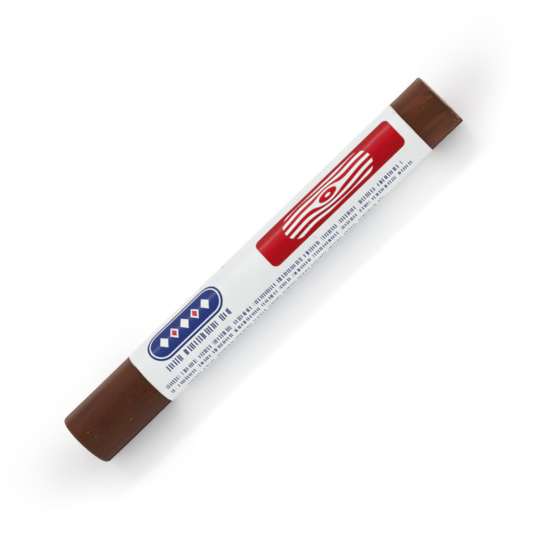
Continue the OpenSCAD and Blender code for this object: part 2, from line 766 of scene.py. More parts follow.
@dataclass(frozen=True)
class Patch:
    """Rounded rectangle on the flat map, in millimetres.

    Attributes:
        u_from: Its side towards the moulded end.
        u_to: Its side towards the cut end.
        v_from: Its side away from the print's foot.
        v_to: Its side towards the print's foot.
        corner: Radius of its corners.
    """

    u_from: float
    u_to: float
    v_from: float
    v_to: float
    corner: float

    @property
    def centre(self) -> tuple[float, float, float]:
        """Middle of the patch."""
        return (self.u_from + self.u_to) / 2, (self.v_from + self.v_to) / 2, 0.0

    def cover(self, add: Add, flat: Socket, inset: float = 0.0, soft: float = 0.04) -> Socket:
        """Finds the share of ink inside the patch.

        Args:
            add: Adds a node to the material.
            flat: Place on the flat map, in millimetres.
            inset: Distance by which the outline is drawn in.
            soft: Half of the width over which the ink's edge fades.

        Returns:
            1 inside the patch and 0 outside it.
        """
        half_u, half_v = (self.u_to - self.u_from) / 2, (self.v_to - self.v_from) / 2
        straight = (half_u - self.corner, half_v - self.corner, 1.0)
        own = add("VectorMath SUBTRACT", flat, self.centre)
        one_side = add("VectorMath ABSOLUTE", own)
        past = add("VectorMath SUBTRACT", one_side, straight)
        outside = add("VectorMath MAXIMUM", past, (0, 0, 0))
        far = add("VectorMath LENGTH", outside, out="Value")
        edge = self.corner - inset
        return add("MapRange", far, edge - soft, edge + soft, 1.0, 0.0)


@dataclass(frozen=True)
class RuledLines:
    """Block of lines that are hatched and broken like words, where a label has its small print.

    Attributes:
        u_from: Start of the lines.
        u_to: End of the longest line.
        v_first: Place of the first line's middle round the stick.
        pitch: Distance from line to line.
        lines: Number of lines.
        thick: Thickness of a line.
        word: Mean length of a word.
        gap: Gap between two words.
        ragged: Most that a line ends short of the longest one.
        stroke: Mean distance from stroke to stroke of the hatching that fills a word.
        seed: Shift of the words, so that no two blocks are alike.
        stroke_edge: Distances from a stroke's middle, as shares of the spacing, over which it ends.
        stroke_heights: Divisors between which the heights of the strokes vary.
        strays: How far the strokes and the gaps stray from even spacing.
        line_shifts: Shifts of the strokes and of the words from line to line.
        soft: Half of the width over which the ink's edge fades.
    """

    u_from: float
    u_to: float
    v_first: float
    pitch: float
    lines: int
    thick: float
    word: float
    gap: float
    ragged: float
    stroke: float
    seed: float
    stroke_edge: tuple[float, float] = (0.19, 0.33)
    stroke_heights: tuple[float, float] = (1.35, 0.95)
    strays: tuple[float, float] = (0.55, 0.85)
    line_shifts: tuple[float, float] = (7.77, 17.31)
    soft: float = 0.03

    def cover(self, add: Add, u: Socket, v: Socket) -> Socket:
        """Finds the share of ink on the lines.

        Args:
            add: Adds a node to the material.
            u: Place along the stick, in millimetres.
            v: Place round the stick, in millimetres.

        Returns:
            1 on a line and 0 beside it.
        """
        down = add("Math SUBTRACT", v, self.v_first)
        step = add("Math DIVIDE", down, self.pitch)
        line = add("Math ROUND", step)
        to_stroke, height = self.strokes(add, u, line)
        hatched = add("MapRange", to_stroke, *self.stroke_edge, 1.0, 0.0)
        tall = add("MapRange", height, 0.0, 1.0, *self.stroke_heights)
        off = add("Math SUBTRACT", step, line)
        off_line = add("Math ABSOLUTE", off)
        reach = add("Math MULTIPLY", off_line, tall)
        half, soft = self.thick / 2 / self.pitch, self.soft / self.pitch
        share = add("MapRange", reach, half - soft, half + soft, 1.0, 0.0)
        chance = add("TexWhiteNoise", at={"W": line}, noise_dimensions="1D")
        end = add("Math MULTIPLY_ADD", chance, -self.ragged, self.u_to)
        # Line numbers are whole, so half a line either way lets in the first and the last
        parts = (
            self.in_words(add, u, line),
            add("Math LESS_THAN", u, end),
            add("Math GREATER_THAN", u, self.u_from),
            add("Math GREATER_THAN", line, -0.5),
            add("Math LESS_THAN", line, self.lines - 0.5),
            hatched,
        )
        for part in parts:
            share = add("Math MULTIPLY", share, part)
        return share

    def strokes(self, add: Add, u: Socket, line: Socket) -> tuple[Socket, Socket]:
        """Sets out the hatching.

        Args:
            add: Adds a node to the material.
            u: Place along the stick, in millimetres.
            line: Number of the line.

        Returns:
            Distance from the nearest stroke as a share of the spacing, and that stroke's own chance.
        """
        even = add("Math MULTIPLY", u, 1 / self.stroke)
        own = add("Math MULTIPLY_ADD", line, self.line_shifts[0], even)
        spacing = {"W": own, "Scale": 1.0, "Randomness": self.strays[0]}
        cells = add("TexVoronoi", at=spacing, voronoi_dimensions="1D").node
        return cells.outputs["Distance"], cells.outputs["Color"]

    def in_words(self, add: Add, u: Socket, line: Socket) -> Socket:
        """Breaks the lines into words.

        Args:
            add: Adds a node to the material.
            u: Place along the stick, in millimetres.
            line: Number of the line.

        Returns:
            1 in a word and 0 in a gap.
        """
        words = add("Math DIVIDE", u, self.word)
        shifted = add("Math MULTIPLY_ADD", line, self.line_shifts[1], words)
        own = add("Math ADD", shifted, self.seed)
        spacing = {"W": own, "Scale": 1.0, "Randomness": self.strays[1]}
        to_gap = add(
            "TexVoronoi",
            at=spacing,
            out="Distance",
            voronoi_dimensions="1D",
            feature="DISTANCE_TO_EDGE",
        )
        half, soft = self.gap / 2 / self.word, self.soft / self.word
        return add("MapRange", to_gap, half - soft, half + soft)


@dataclass(frozen=True)
class WoodKnot:
    """White lines of wood grain that part round a knot.

    Attributes:
        zone: Patch that holds the lines.
        stretch: How much longer than high the knot is.
        radius: Half of the knot's height, in millimetres.
        pitch: Distance from line to line, in millimetres.
        line_share: Share of the pitch that a line takes.
        swing: How far the lines wander, in millimetres.
        swing_mm: Length along which they do, in millimetres.
        soft: Half of the share of the pitch over which a line's edge fades.
    """

    zone: Patch = Patch(7.8, 28.3, -4.15, 0.73, 2.44)
    stretch: float = 2.6
    radius: float = 0.95
    pitch: float = 1.02
    line_share: float = 0.46
    swing: float = 1.6
    swing_mm: float = 9.09
    soft: float = 0.03

    def cover(self, add: Add, flat: Socket) -> Socket:
        """Finds where the lines are.

        Args:
            add: Adds a node to the material.
            flat: Place on the flat map, in millimetres.

        Returns:
            1 on a line and 0 beside it.
        """
        wander = add("TexNoise", at={"Vector": flat, "Scale": 1 / self.swing_mm, "Detail": 0.0})
        where = {"Location": self.zone.centre, "Scale": (self.stretch, 1, 1)}
        own = add("Mapping", flat, at=where, vector_type="TEXTURE")
        far = add("VectorMath LENGTH", own, out="Value")
        height = add("SeparateXYZ", own, out="Y")
        swung = add("Math MULTIPLY_ADD", wander, self.swing, height)
        level = add("Math SUBTRACT", swung, self.swing / 2)
        # The grain parts round the knot as a stream does round a post, and inside it are rings
        share = add("Math DIVIDE", self.radius, far)
        squared = add("Math POWER", share, 2.0)
        kept = add("Math SUBTRACT", 1.0, squared)
        flow = add("Math MULTIPLY", level, kept)
        outside = add("Math GREATER_THAN", far, self.radius)
        drawn = add("Mix", outside, at={"A": far, "B": flow})
        cell = add("Math DIVIDE", drawn, self.pitch)
        off = add("Math SUBTRACT", cell, add("Math ROUND", cell))
        off_line = add("Math ABSOLUTE", off)
        edge = self.line_share / 2
        line = add("MapRange", off_line, edge - self.soft, edge + self.soft, 1.0, 0.0)
        return add("Math MULTIPLY", line, self.zone.cover(add, flat))


@dataclass(frozen=True)
class LozengeBadge:
    """Navy badge with a white keyline and a row of white lozenges, two of them with red cores.

    Attributes:
        outline: Outline of the badge.
        keyline: Insets of the keyline's two sides, in millimetres.
        pitch: Distance from lozenge to lozenge, in millimetres.
        half_long: Half of a lozenge's length, in millimetres.
        half_high: Half of its height, in millimetres.
        lozenges: Number of lozenges.
        soft: Half of the share of a lozenge over which its edge fades.
        core: Shares of a lozenge between which the edge of its core fades.
    """

    outline: Patch = Patch(-24.65, -7.6, -6.07, -0.05, 3.01)
    keyline: tuple[float, float] = (0.42, 0.66)
    pitch: float = 2.5
    half_long: float = 0.95
    half_high: float = 1.25
    lozenges: int = 5
    soft: float = 0.04
    core: tuple[float, float] = (0.58, 0.66)

    def covers(self, add: Add, flat: Socket, u: Socket, v: Socket) -> tuple[Socket, Socket]:
        """Finds the shares of the badge's two inks.

        Args:
            add: Adds a node to the material.
            flat: Place on the flat map, in millimetres.
            u: Place along the stick, in millimetres.
            v: Place round the stick, in millimetres.

        Returns:
            Share of navy and share of red.
        """
        badge = self.outline.cover(add, flat)
        outer, inner = (self.outline.cover(add, flat, inset) for inset in self.keyline)
        keyline = add("Math SUBTRACT", outer, inner)
        centre_u, centre_v, _ = self.outline.centre
        along = add("Math SUBTRACT", u, centre_u)
        cell = add("Math WRAP", along, self.pitch / 2, -self.pitch / 2)
        side = add("Math ABSOLUTE", cell)
        down = add("Math SUBTRACT", v, centre_v)
        rise = add("Math DIVIDE", add("Math ABSOLUTE", down), self.half_high)
        reach = add("Math MULTIPLY_ADD", side, 1 / self.half_long, rise)
        lozenge = add("MapRange", reach, 1 - self.soft, 1 + self.soft, 1.0, 0.0)
        from_middle = add("Math ABSOLUTE", along)
        in_row = add("Math LESS_THAN", from_middle, self.pitch * self.lozenges / 2)
        white = add("Math MAXIMUM", add("Math MULTIPLY", lozenge, in_row), keyline)
        navy = add("Math SUBTRACT", badge, white, use_clamp=True)
        # The two lozenges with cores lie one pitch from the middle
        next_to_middle = add("Math COMPARE", from_middle, self.pitch, self.pitch / 2)
        core = add("MapRange", reach, *self.core, 1.0, 0.0)
        return navy, add("Math MULTIPLY", core, next_to_middle)


@dataclass(frozen=True)
class PrintedLabel:
    """White coated paper, printed in red and navy by offset and varnished.

    The coating makes the white even and faintly cool. Ink lies on the coating with a little more
    gloss than bare paper, and the red shows the fine mottle of a solid printed by offset. The paper
    has taken up a little wax along its two cut edges.
    """

    name: str = "coated_paper_offset_printed"
    paper: str = "#ebedec"
    stain: Glaze = Glaze("#cdb79a", -0.22, -0.06, 0.6)
    red: str = "#a5121a"
    # Painted highlight: between these places round the stick the red is painted brighter on its
    # upper side, where the light falls, and then partly back
    red_highlight: str = "#bf0b1e"
    red_highlight_rise: tuple[float, float] = (0.6, -2.6)
    red_highlight_fall: tuple[float, ...] = (-3.2, -4.4, 1.0, 0.3)
    navy: str = "#27387c"
    panel: Patch = Patch(2.27, 34.66, -4.90, 1.48, 1.15)
    knot: WoodKnot = WoodKnot()
    badge: LozengeBadge = LozengeBadge()
    blocks: tuple[RuledLines, ...] = (
        RuledLines(
            u_from=-23.9, u_to=-8.45, v_first=1.02, pitch=3.0, lines=1, thick=1.38,
            word=7.6, gap=0.75, ragged=0.0, stroke=0.52, seed=3.45,
        ),
        RuledLines(
            u_from=-26.4, u_to=33.4, v_first=3.50, pitch=1.58, lines=2, thick=1.05,
            word=5.0, gap=0.62, ragged=3.2, stroke=0.42, seed=41.7,
        ),
        RuledLines(
            u_from=-24.0, u_to=30.0, v_first=7.25, pitch=1.35, lines=7, thick=0.80,
            word=3.9, gap=0.50, ragged=9.0, stroke=0.36, seed=87.1,
        ),
    )
    smudges: tuple[Smudge, ...] = (
        Smudge(-4.5, -72.0, 1.2, 0.5, "#8d8a86", 0.8, 10.0),
        Smudge(36.52, -44.0, 0.8, 0.28, "#a98b7e", 0.4, 80.0),
        Smudge(11.2, 22.5, 1.4, 0.4, "#b9b9ba", 0.35, 60.0),
    )
    roughness: float = 0.3
    ink_roughness: float = 0.2
    specular: float = 0.25
    # A real print's mottle is finer than a pixel, so it is drawn as coarse as it needs to show
    mottle_mm: float = 0.35
    shade_mm: float = 8.33
    # How much lighter and darker the paper's broad shades and the inks' mottle go, between these
    # two values of the pattern
    tint_values: tuple[float, float] = (0.25, 0.75)
    paper_depth: float = 0.03
    red_depth: float = 0.22
    navy_depth: float = 0.18
    tooth: float = 0.12
    tooth_mm: float = 0.01

    def build(self, bar: Bar) -> bpy.types.Material:
        """Builds the material for the printed side of the sheet.

        Args:
            bar: Sizes of the stick.

        Returns:
            The material.
        """
        material, add = blank_material(self.name)
        flat = add("UVMap", uv_map=FLAT_MAP)
        u, v, _ = add("SeparateXYZ", flat).node.outputs
        mottle = add("TexNoise", at={"Vector": flat, "Scale": 1 / self.mottle_mm, "Detail": 3.0})
        shade = add("TexNoise", at={"Vector": flat, "Scale": 1 / self.shade_mm, "Detail": 2.0})
        colour = self.tinted(add, linear(self.paper), shade, self.paper_depth)
        for smudge in self.smudges:
            colour = smudge.paint(add, flat, colour, bar.label_radius)
        colour = self.stain.lay(add, bar.past_label(add, u), colour)
        # Share of the red's painted highlight on the upper side
        rise = add("MapRange", v, *self.red_highlight_rise, **SOFT)
        fall = add("MapRange", v, *self.red_highlight_fall, **SOFT)
        top = add("Math MULTIPLY", rise, fall)
        reds = Glaze(self.red_highlight).lay(add, top, linear(self.red))
        red = self.tinted(add, reds, mottle, self.red_depth)
        navy = self.tinted(add, linear(self.navy), mottle, self.navy_depth)
        grain = self.knot.cover(add, flat)
        panel = add("Math SUBTRACT", self.panel.cover(add, flat), grain, use_clamp=True)
        badge, cores = self.badge.covers(add, flat, u, v)
        inks = [(panel, red), (badge, navy), (cores, red)]
        inks += [(block.cover(add, u, v), navy) for block in self.blocks]
        inked: Socket | float = 0.0
        for cover, ink in inks:
            ends = {"A": colour, "B": ink}
            colour = add("Mix", cover, at=ends, out="Result", data_type="RGBA")
            inked = add("Math MAXIMUM", inked, cover)
        relief = {"Strength": self.tooth, "Distance": self.tooth_mm * MM, "Height": mottle}
        look = {
            "Base Color": colour,
            "Roughness": add("MapRange", inked, 0.0, 1.0, self.roughness, self.ink_roughness),
            "Specular IOR Level": self.specular,
            "Normal": add("Bump", at=relief),
        }
        add("OutputMaterial", add("BsdfPrincipled", at=look))
        return material

    def tinted(self, add: Add, colour: Paint, pattern: Socket, depth: float) -> Socket:
        """Makes a colour a little lighter and darker along a pattern."""
        value = add("MapRange", pattern, *self.tint_values, 1 - depth, 1 + depth)
        return add("HueSaturation", at={"Color": colour, "Value": value})


@dataclass(frozen=True)
class BarePaper:
    """Uncoated back and cut edges of the label's paper.

    The fibres show there, so it is creamier and duller than the coated side.
    """

    name: str = "paper_cut_edge"
    core: str = "#efe4cf"
    fibre: str = "#d9cbb2"
    # Real fibres are about a tenth as wide, and are drawn as coarse as they need to show
    fibre_mm: float = 0.15
    roughness: float = 0.8

    def build(self) -> bpy.types.Material:
        """Builds the material for the back and the edges of the sheet.

        Returns:
            The material.
        """
        material, add = blank_material(self.name)
        flat = add("UVMap", uv_map=FLAT_MAP)
        fibres = add("TexNoise", at={"Vector": flat, "Scale": 1 / self.fibre_mm, "Detail": 3.0})
        colour = Glaze(self.fibre).lay(add, fibres, linear(self.core))
        look = {"Base Color": colour, "Roughness": self.roughness}
        add("OutputMaterial", add("BsdfPrincipled", at=look))
        return material


@dataclass(frozen=True)
class DriedGlue:
    """Water-based label glue that was brushed on in a strip and has dried.

    It is cream, with faint brush lines along the strip and a soft gloss.
    """

    name: str = "label_glue_dried"
    film: str = "#e6dcb8"
    thin: str = "#cfc196"
    brush_mm: float = 0.25
    # Share of the brush lines' frequency that is left along the strip
    brush_squeeze: float = 0.05
    bump: float = 0.3
    bump_mm: float = 0.01
    roughness: float = 0.5

    def build(self) -> bpy.types.Material:
        """Builds the material for the glue under the lap.

        Returns:
            The material.
        """
        material, add = blank_material(self.name)
        stretch = (self.brush_squeeze / MM, 1 / MM, 1 / MM)
        drawn = add("VectorMath MULTIPLY", add("TexCoord", out="Object"), stretch)
        brushed = add("TexNoise", at={"Vector": drawn, "Scale": 1 / self.brush_mm, "Detail": 2.0})
        relief = {"Strength": self.bump, "Distance": self.bump_mm * MM, "Height": brushed}
        look = {
            "Base Color": Glaze(self.thin).lay(add, brushed, linear(self.film)),
            "Roughness": self.roughness,
            "Normal": add("Bump", at=relief),
        }
        add("OutputMaterial", add("BsdfPrincipled", at=look))
        return material


@dataclass
class WaxBar:
    """Bar of wax: a rounded moulded end, a plain round side, and a cut end with a worn rim.

    Attributes:
        bar: Sizes of the stick.
        finish: Finish of the wax.
        mould_rim: Radius that rounds the rim of the moulded end.
        cut_rim: Mean radius that rounds the rim of the cut end.
        cut_rim_swing: Most by which that radius varies round the rim.
        cut_rim_worn_deg: Face angle at which it is largest.
        columns: Number of faces round the bar.
        rim_steps: Number of rows over each rim.
        face_rings: Number of rings on each end face.
        bare_step: Distance from row to row where the wax is bare.
        covered_step: Distance from row to row under the label.
        close_rows_under: Stretch under the label in which the rows stay close.
        last_gap: Stretch before the cut rim that has no row.
        sharp_deg: Least angle between two faces that shows as an edge.
        mould_skew: Slope of the moulded end across the view.
        mould_lean: Slope of the moulded end away from the view.
        mould_long: Length that the moulded end has over the CAD model's.
        mould_flare: Length that its lower corner has over that.
        flare_across: Distances across over which the flare sets in.
        cut_skew: Slope of the cut end across the view.
        cut_low: Length that the cut end falls short of the CAD model's.
        skew_reach: Distance from each end over which its slope fades.
        hollow: Depth to which the moulded end has sunk in its middle.
        knife_slant: Slant of the knife's scoring on the cut end.
        scored_shares: Shares of the radius over which the scoring sets in.
        mould_shrink: Depth by which the wax at the moulded end has shrunk.
        shrink_mean: Mean share of that depth.
        shrink_swing: Most by which that share varies round the stick.
        cut_shrink: Depth by which the wax at the cut end has shrunk.
        tuck: Depth by which the wax lies under the label.
        tuck_reach: Distance from the label's edge over which it gets there.
        lap_rise: Angles over which the relief fades before the lap.
        lap_fall: Angles over which it comes back after the lap, higher angle first.
        swell: Long, low waves.
        lines: Lines drawn along the stick as it left the mould.
        pits: Fine unevenness.
        knife: Scoring on the cut end.
        dents: Nicks and chips.
    """

    bar: Bar
    finish: MouldedWax = field(default_factory=MouldedWax)
    mould_rim: float = 0.79 * MM
    cut_rim: float = 0.3 * MM
    cut_rim_swing: float = 0.12 * MM
    cut_rim_worn_deg: float = -76.0
    columns: int = 240
    rim_steps: int = 9
    face_rings: int = 22
    bare_step: float = 0.2 * MM
    covered_step: float = 2.5 * MM
    close_rows_under: float = 0.6 * MM
    last_gap: float = 0.2 * MM
    sharp_deg: float = 60.0
    mould_skew: float = 0.045
    mould_lean: float = 0.0494
    mould_long: float = 0.035 * MM
    mould_flare: float = 0.035 * MM
    flare_across: tuple[float, float] = (4.2 * MM, 4.9 * MM)
    cut_skew: float = 0.029
    cut_low: float = 0.26 * MM
    skew_reach: float = 6 * MM
    hollow: float = 0.12 * MM
    knife_slant: float = 0.35
    scored_shares: tuple[float, float] = (1.0, 0.9)
    mould_shrink: float = 0.065 * MM
    shrink_mean: float = 0.55
    shrink_swing: float = 0.45
    cut_shrink: float = 0.03 * MM
    tuck: float = 0.012 * MM
    tuck_reach: float = 1 * MM
    lap_rise: tuple[float, float] = (15, 28)
    lap_fall: tuple[float, float] = (95, 80)
    swell: Relief = Relief(11, 0.012 * MM, 7 * MM, 30 * MM, 5)
    lines: Relief = Relief(12, 0.0035 * MM, 12 * MM, 60 * MM, 90, 60)
    pits: Relief = Relief(13, 0.004 * MM, 0.9 * MM, 3 * MM, 30, 60)
    knife: Relief = Relief(14, 0.03 * MM, 0.5 * MM, 2.2 * MM, 0, 14)
    dents: tuple[Dent, ...] = (
        Dent(44.35, 42.0, 0.55, 0.60, 0.16),
        Dent(44.35, 67.0, 0.50, 0.70, 0.20),
        Dent(44.40, -76.0, 0.60, 1.30, 0.22),
        Dent(44.45, 8.0, 0.30, 0.50, 0.08),
        Dent(44.45, -40.0, 0.30, 0.90, 0.07),
        Dent(44.40, 130.0, 0.60, 1.10, 0.20),
        Dent(44.45, 200.0, 0.40, 0.80, 0.10),
        Dent(-29.53, 9.8, 0.60, 0.25, 0.03),
        Dent(-38.20, 150.0, 1.10, 0.30, 0.05),
        Dent(-33.00, -120.0, 0.40, 0.35, 0.06),
        Dent(40.80, 175.0, 0.90, 0.30, 0.05),
    )

    def make(self) -> bpy.types.Object:
        """Builds and dresses the bar, and lets it stand for the CAD node.

        Returns:
            The bar.
        """
        deg = PRINT_DEG - 180 + np.arange(self.columns + 1) * 360 / self.columns
        x, radius, side = self.outline(deg)
        shifted = x + self.end_shift(x, radius, deg, side)
        points = self.bar.place(shifted, radius + self.relief(x, deg) * side, deg)
        around = np.broadcast_to(from_print(deg) * self.bar.radius, x.shape)
        flat = np.stack([x, around], -1) / MM
        skin = Skin()
        skin.add_grid(points[:, :-1], flat, [0] * self.columns)
        self.close(skin, points, flat)
        piece = skin.make("wax_bar", self.sharp_deg)
        piece.data.materials.append(self.finish.build(self.bar))
        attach(piece, BODY)
        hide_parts("wax_stick")
        return piece

    def outline(self, deg: np.ndarray) -> tuple[np.ndarray, np.ndarray, np.ndarray]:
        """Lays out the rows from the moulded face round the rims to the cut face.

        Args:
            deg: Angle of each column.

        Returns:
            Place along the stick, radius, and share of each point's relief that is radial.
        """
        half, radius = self.bar.length / 2, self.bar.radius
        turn = np.linspace(0, math.pi / 2, self.rim_steps)
        rings = np.linspace(1 / self.face_rings, 1, self.face_rings, endpoint=False)
        off_worn = from_print(deg) - math.radians(self.cut_rim_worn_deg)
        cut_rim = self.cut_rim + self.cut_rim_swing * np.cos(off_worn)
        rows: list[tuple[np.ndarray | float, np.ndarray | float, float]] = []
        rows += [(-half, f * (radius - self.mould_rim), 0.0) for f in rings]
        for q in turn:
            x = -half + self.mould_rim * (1 - math.cos(q))
            rows.append((x, radius - self.mould_rim * (1 - math.sin(q)), math.sin(q)))
        rows += [(x, radius, 1.0) for x in self.side_stations()]
        for q in turn[::-1]:
            x = half - cut_rim * (1 - math.cos(q))
            rows.append((x, radius - cut_rim * (1 - math.sin(q)), math.sin(q)))
        rows += [(half, f * (radius - cut_rim), 0.0) for f in rings[::-1]]
        ones = np.ones_like(deg)
        x, r, side = (np.array([row[i] * ones for row in rows]) for i in range(3))
        return x, r, side

    def side_stations(self) -> np.ndarray:
        """Lays out the rows along the side, close together where the wax is bare.

        Returns:
            Place of each row along the stick.
        """
        first = -self.bar.length / 2 + self.mould_rim
        last = self.bar.length / 2 - self.cut_rim - self.last_gap
        left = self.bar.label_from + self.close_rows_under
        right = self.bar.label_to - self.close_rows_under
        bare_left = np.arange(first + self.bare_step, left, self.bare_step)
        covered = np.arange(left, right, self.covered_step)
        bare_right = np.arange(right, last, self.bare_step)
        return np.concatenate([bare_left, covered, bare_right])

    def relief(self, x: np.ndarray, deg: np.ndarray) -> np.ndarray:
        """Works out the relief of the side, with its shrinkage and its dents.

        Args:
            x: Place of each point along the stick.
            deg: Angle of each column.

        Returns:
            Height of the relief at each point.
        """
        left, right = self.bar.label_from, self.bar.label_to
        covered = window(x, (left, left + self.tuck_reach), (right, right - self.tuck_reach))
        under_lap = window(deg % 360, self.lap_rise, self.lap_fall)
        waves = self.swell.at(x, deg) + self.lines.at(x, deg) + self.pits.at(x, deg)
        relief = waves * (1 - covered * under_lap) - self.tuck * covered
        uneven = self.shrink_mean - self.shrink_swing * np.sin(from_print(deg))
        shrunk = np.where(x < 0, self.mould_shrink * uneven, self.cut_shrink)
        relief -= shrunk * (1 - covered)
        for dent in self.dents:
            relief -= dent.at(x, deg, self.bar.radius)
        return relief

    def end_shift(
        self, x: np.ndarray, radius: np.ndarray, deg: np.ndarray, side: np.ndarray
    ) -> np.ndarray:
        """Leans both end faces a little, hollows the moulded one and scores the cut one.

        Args:
            x: Place of each point along the stick.
            radius: Radius of each point.
            deg: Angle of each column.
            side: Share of each point's relief that is radial.

        Returns:
            Shift of each point along the stick.
        """
        half = self.bar.length / 2
        across, height = radius * np.sin(from_print(deg)), radius * np.cos(from_print(deg))
        near_mould = smooth(x, -half + self.skew_reach, -half)
        near_cut = smooth(x, half - self.skew_reach, half)
        lean = across * (self.mould_skew * near_mould + self.cut_skew * near_cut)
        lean += self.mould_lean * (self.bar.radius - height) * near_mould
        lean -= self.mould_long * near_mould + self.cut_low * near_cut
        lean -= self.mould_flare * near_mould * smooth(across, *self.flare_across)
        share = radius / self.bar.radius
        faces = 1 - side
        dished = self.hollow * np.clip(1 - share**2, 0, 1) * near_mould * faces
        slant = height + self.knife_slant * across
        scored = self.knife.at(slant, np.zeros_like(deg)) * near_cut * faces
        return lean + dished + scored * smooth(share, *self.scored_shares)

    def close(self, skin: Skin, points: np.ndarray, flat: np.ndarray) -> None:
        """Closes both end faces with a fan of triangles round their middle.

        Args:
            skin: Mesh that holds the grid of points.
            points: Places of the points, row by row along the stick.
            flat: Flat map of the points.
        """
        last = points.shape[0] - 1
        total = points.shape[0] * self.columns
        for end, row in enumerate((0, last)):
            skin.points.append(points[row, :-1].mean(0)[None])
            middle = (flat[row, 0, 0], 0.0)
            for column in range(self.columns):
                after = (column + 1) % self.columns
                corners = [total + end, row * self.columns + column, row * self.columns + after]
                places = [middle, tuple(flat[row, column]), tuple(flat[row, column + 1])]
                skin.add_face(corners, places)


@dataclass
class WrapLabel:
    """Printed sheet that goes once round the wax and laps over its own inner edge at the back.

    Attributes:
        bar: Sizes of the stick.
        finish: Finish of the printed side.
        back: Finish of the other side and the cut edges.
        thickness: Thickness of the paper.
        glue: Thickness of the glue under the lap.
        inner_end_deg: Angle of the sheet's inner end.
        climb: Stretch over which the sheet climbs on to its inner end.
        lap: Width of the lap.
        turn_columns: Number of columns round the wax.
        climb_columns: Number of columns over the climb.
        lap_columns: Number of columns over the lap.
        row_step: Distance from row to row.
        edge_rows: Distances of the closer rows from each cut edge.
        sharp_deg: Least angle between two faces that shows as an edge.
        left_trim: Length that the edge at the moulded end falls short.
        right_skew: Slope of the edge at the cut end.
        jog: Length that the edge at the moulded end juts out along its jog.
        jog_rise: Distances across over which the jog sets in.
        jog_fall: Distances across over which it ends, farther one first.
        foot_trim: Length that the same edge falls short at its foot.
        foot_across: Distances across over which that sets in.
        cockle: Cockling of the paper.
        edge_wave: Waver of the knife along both edges.
        edge_lift: Height by which both edges are lifted off the wax.
        edge_reach: Distance from the edge over which the lift fades.
        lift_mean: Mean share of the lift.
        lift_swing: Most by which that share varies round the stick.
        lift_turns: Numbers of the two waves in which it does.
        lift_start_deg: Start of the first of them.
        free_rise: Angles over which the sheet comes free after the lap.
        free_fall: Angles over which it lies down again before its foot, higher angle first.
        tail_lift: Height by which the outer end is lifted.
        tail_from_deg: Angles past the outer end over which that sets in.
    """

    bar: Bar
    finish: PrintedLabel = field(default_factory=PrintedLabel)
    back: BarePaper = field(default_factory=BarePaper)
    thickness: float = 0.06 * MM
    glue: float = 0.03 * MM
    inner_end_deg: float = 34.0
    climb: float = 0.3 * MM
    lap: float = 4 * MM
    turn_columns: int = 238
    climb_columns: int = 5
    lap_columns: int = 27
    row_step: float = 0.8 * MM
    edge_rows: tuple[float, ...] = (0, 0.1 * MM, 0.2 * MM, 0.35 * MM, 0.55 * MM, 0.8 * MM)
    sharp_deg: float = 40.0
    left_trim: float = 0.035 * MM
    right_skew: float = -0.0023
    jog: float = 0.09 * MM
    jog_rise: tuple[float, float] = (-3.3 * MM, -3.6 * MM)
    jog_fall: tuple[float, float] = (-5.7 * MM, -4.2 * MM)
    foot_trim: float = 0.125 * MM
    foot_across: tuple[float, float] = (4.6 * MM, 5.4 * MM)
    cockle: Relief = Relief(21, 0.007 * MM, 6 * MM, 25 * MM, 6)
    edge_wave: Relief = Relief(22, 0.012 * MM, 400 * MM, 800 * MM, 9, 12)
    edge_lift: float = 0.035 * MM
    edge_reach: float = 0.9 * MM
    lift_mean: float = 0.55
    lift_swing: float = 0.45
    lift_turns: tuple[int, int] = (3, 2)
    lift_start_deg: float = 40.0
    free_rise: tuple[float, float] = (85, 110)
    free_fall: tuple[float, float] = (352, 338)
    tail_lift: float = 0.05 * MM
    tail_from_deg: tuple[float, float] = (-5, 3)

    def make(self) -> bpy.types.Object:
        """Builds and dresses the sheet, and lets it stand for the CAD node.

        Returns:
            The sheet.
        """
        deg = self.turn_stations()
        x = self.row_stations()[:, None]
        outer = self.outer_radius(x, deg)
        shifted = x + self.edge_shift(x, deg)
        printed = self.bar.place(shifted, outer, deg)
        bare = self.bar.place(shifted, outer - self.thickness, deg)
        points = np.concatenate([printed, bare[:, ::-1]], 1)
        around = np.broadcast_to(from_print(deg) * self.bar.label_radius, outer.shape)
        one_side = np.stack([shifted, around], -1) / MM
        flat = np.concatenate([one_side, one_side[:, ::-1], one_side[:, :1]], 1)
        skin = Skin()
        count = len(deg)
        skin.add_grid(points, flat, [0] * (count - 1) + [1] * (count + 1))
        self.close(skin, flat)
        piece = skin.make("printed_label", self.sharp_deg)
        piece.data.materials.append(self.finish.build(self.bar))
        piece.data.materials.append(self.back.build())
        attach(piece, BODY)
        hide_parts("wrap_label")
        return piece

    @property
    def whole_turn_deg(self) -> float:
        """Angle at which the sheet has gone once round and comes to its inner end again."""
        return self.inner_end_deg + 360

    @property
    def climb_from_deg(self) -> float:
        """Angle at which the sheet starts to climb on to its inner end."""
        return self.whole_turn_deg - math.degrees(self.climb / self.bar.label_radius)

    @property
    def outer_end_deg(self) -> float:
        """Angle of the sheet's outer end, counted on from its inner end."""
        return self.whole_turn_deg + math.degrees(self.lap / (self.bar.label_radius + self.glue))

    def turn_stations(self) -> np.ndarray:
        """Lays out the columns, from the inner end round the wax to the outer end.

        Returns:
            Angle of each column.
        """
        turn = np.linspace(self.inner_end_deg, self.climb_from_deg, self.turn_columns)
        climb = np.linspace(self.climb_from_deg, self.whole_turn_deg, self.climb_columns)[1:]
        lap = np.linspace(self.whole_turn_deg, self.outer_end_deg, self.lap_columns)[1:]
        return np.concatenate([turn, climb, lap])

    def row_stations(self) -> np.ndarray:
        """Lays out the rows along the stick, close together at both edges.

        Returns:
            Place of each row along the stick.
        """
        close = np.array(self.edge_rows)
        left, right = self.bar.label_from, self.bar.label_to
        steps = int((right - left - 2 * close[-1]) / self.row_step)
        middle = np.linspace(left + close[-1], right - close[-1], steps)[1:-1]
        return np.concatenate([left + close, middle, right - close[::-1]])

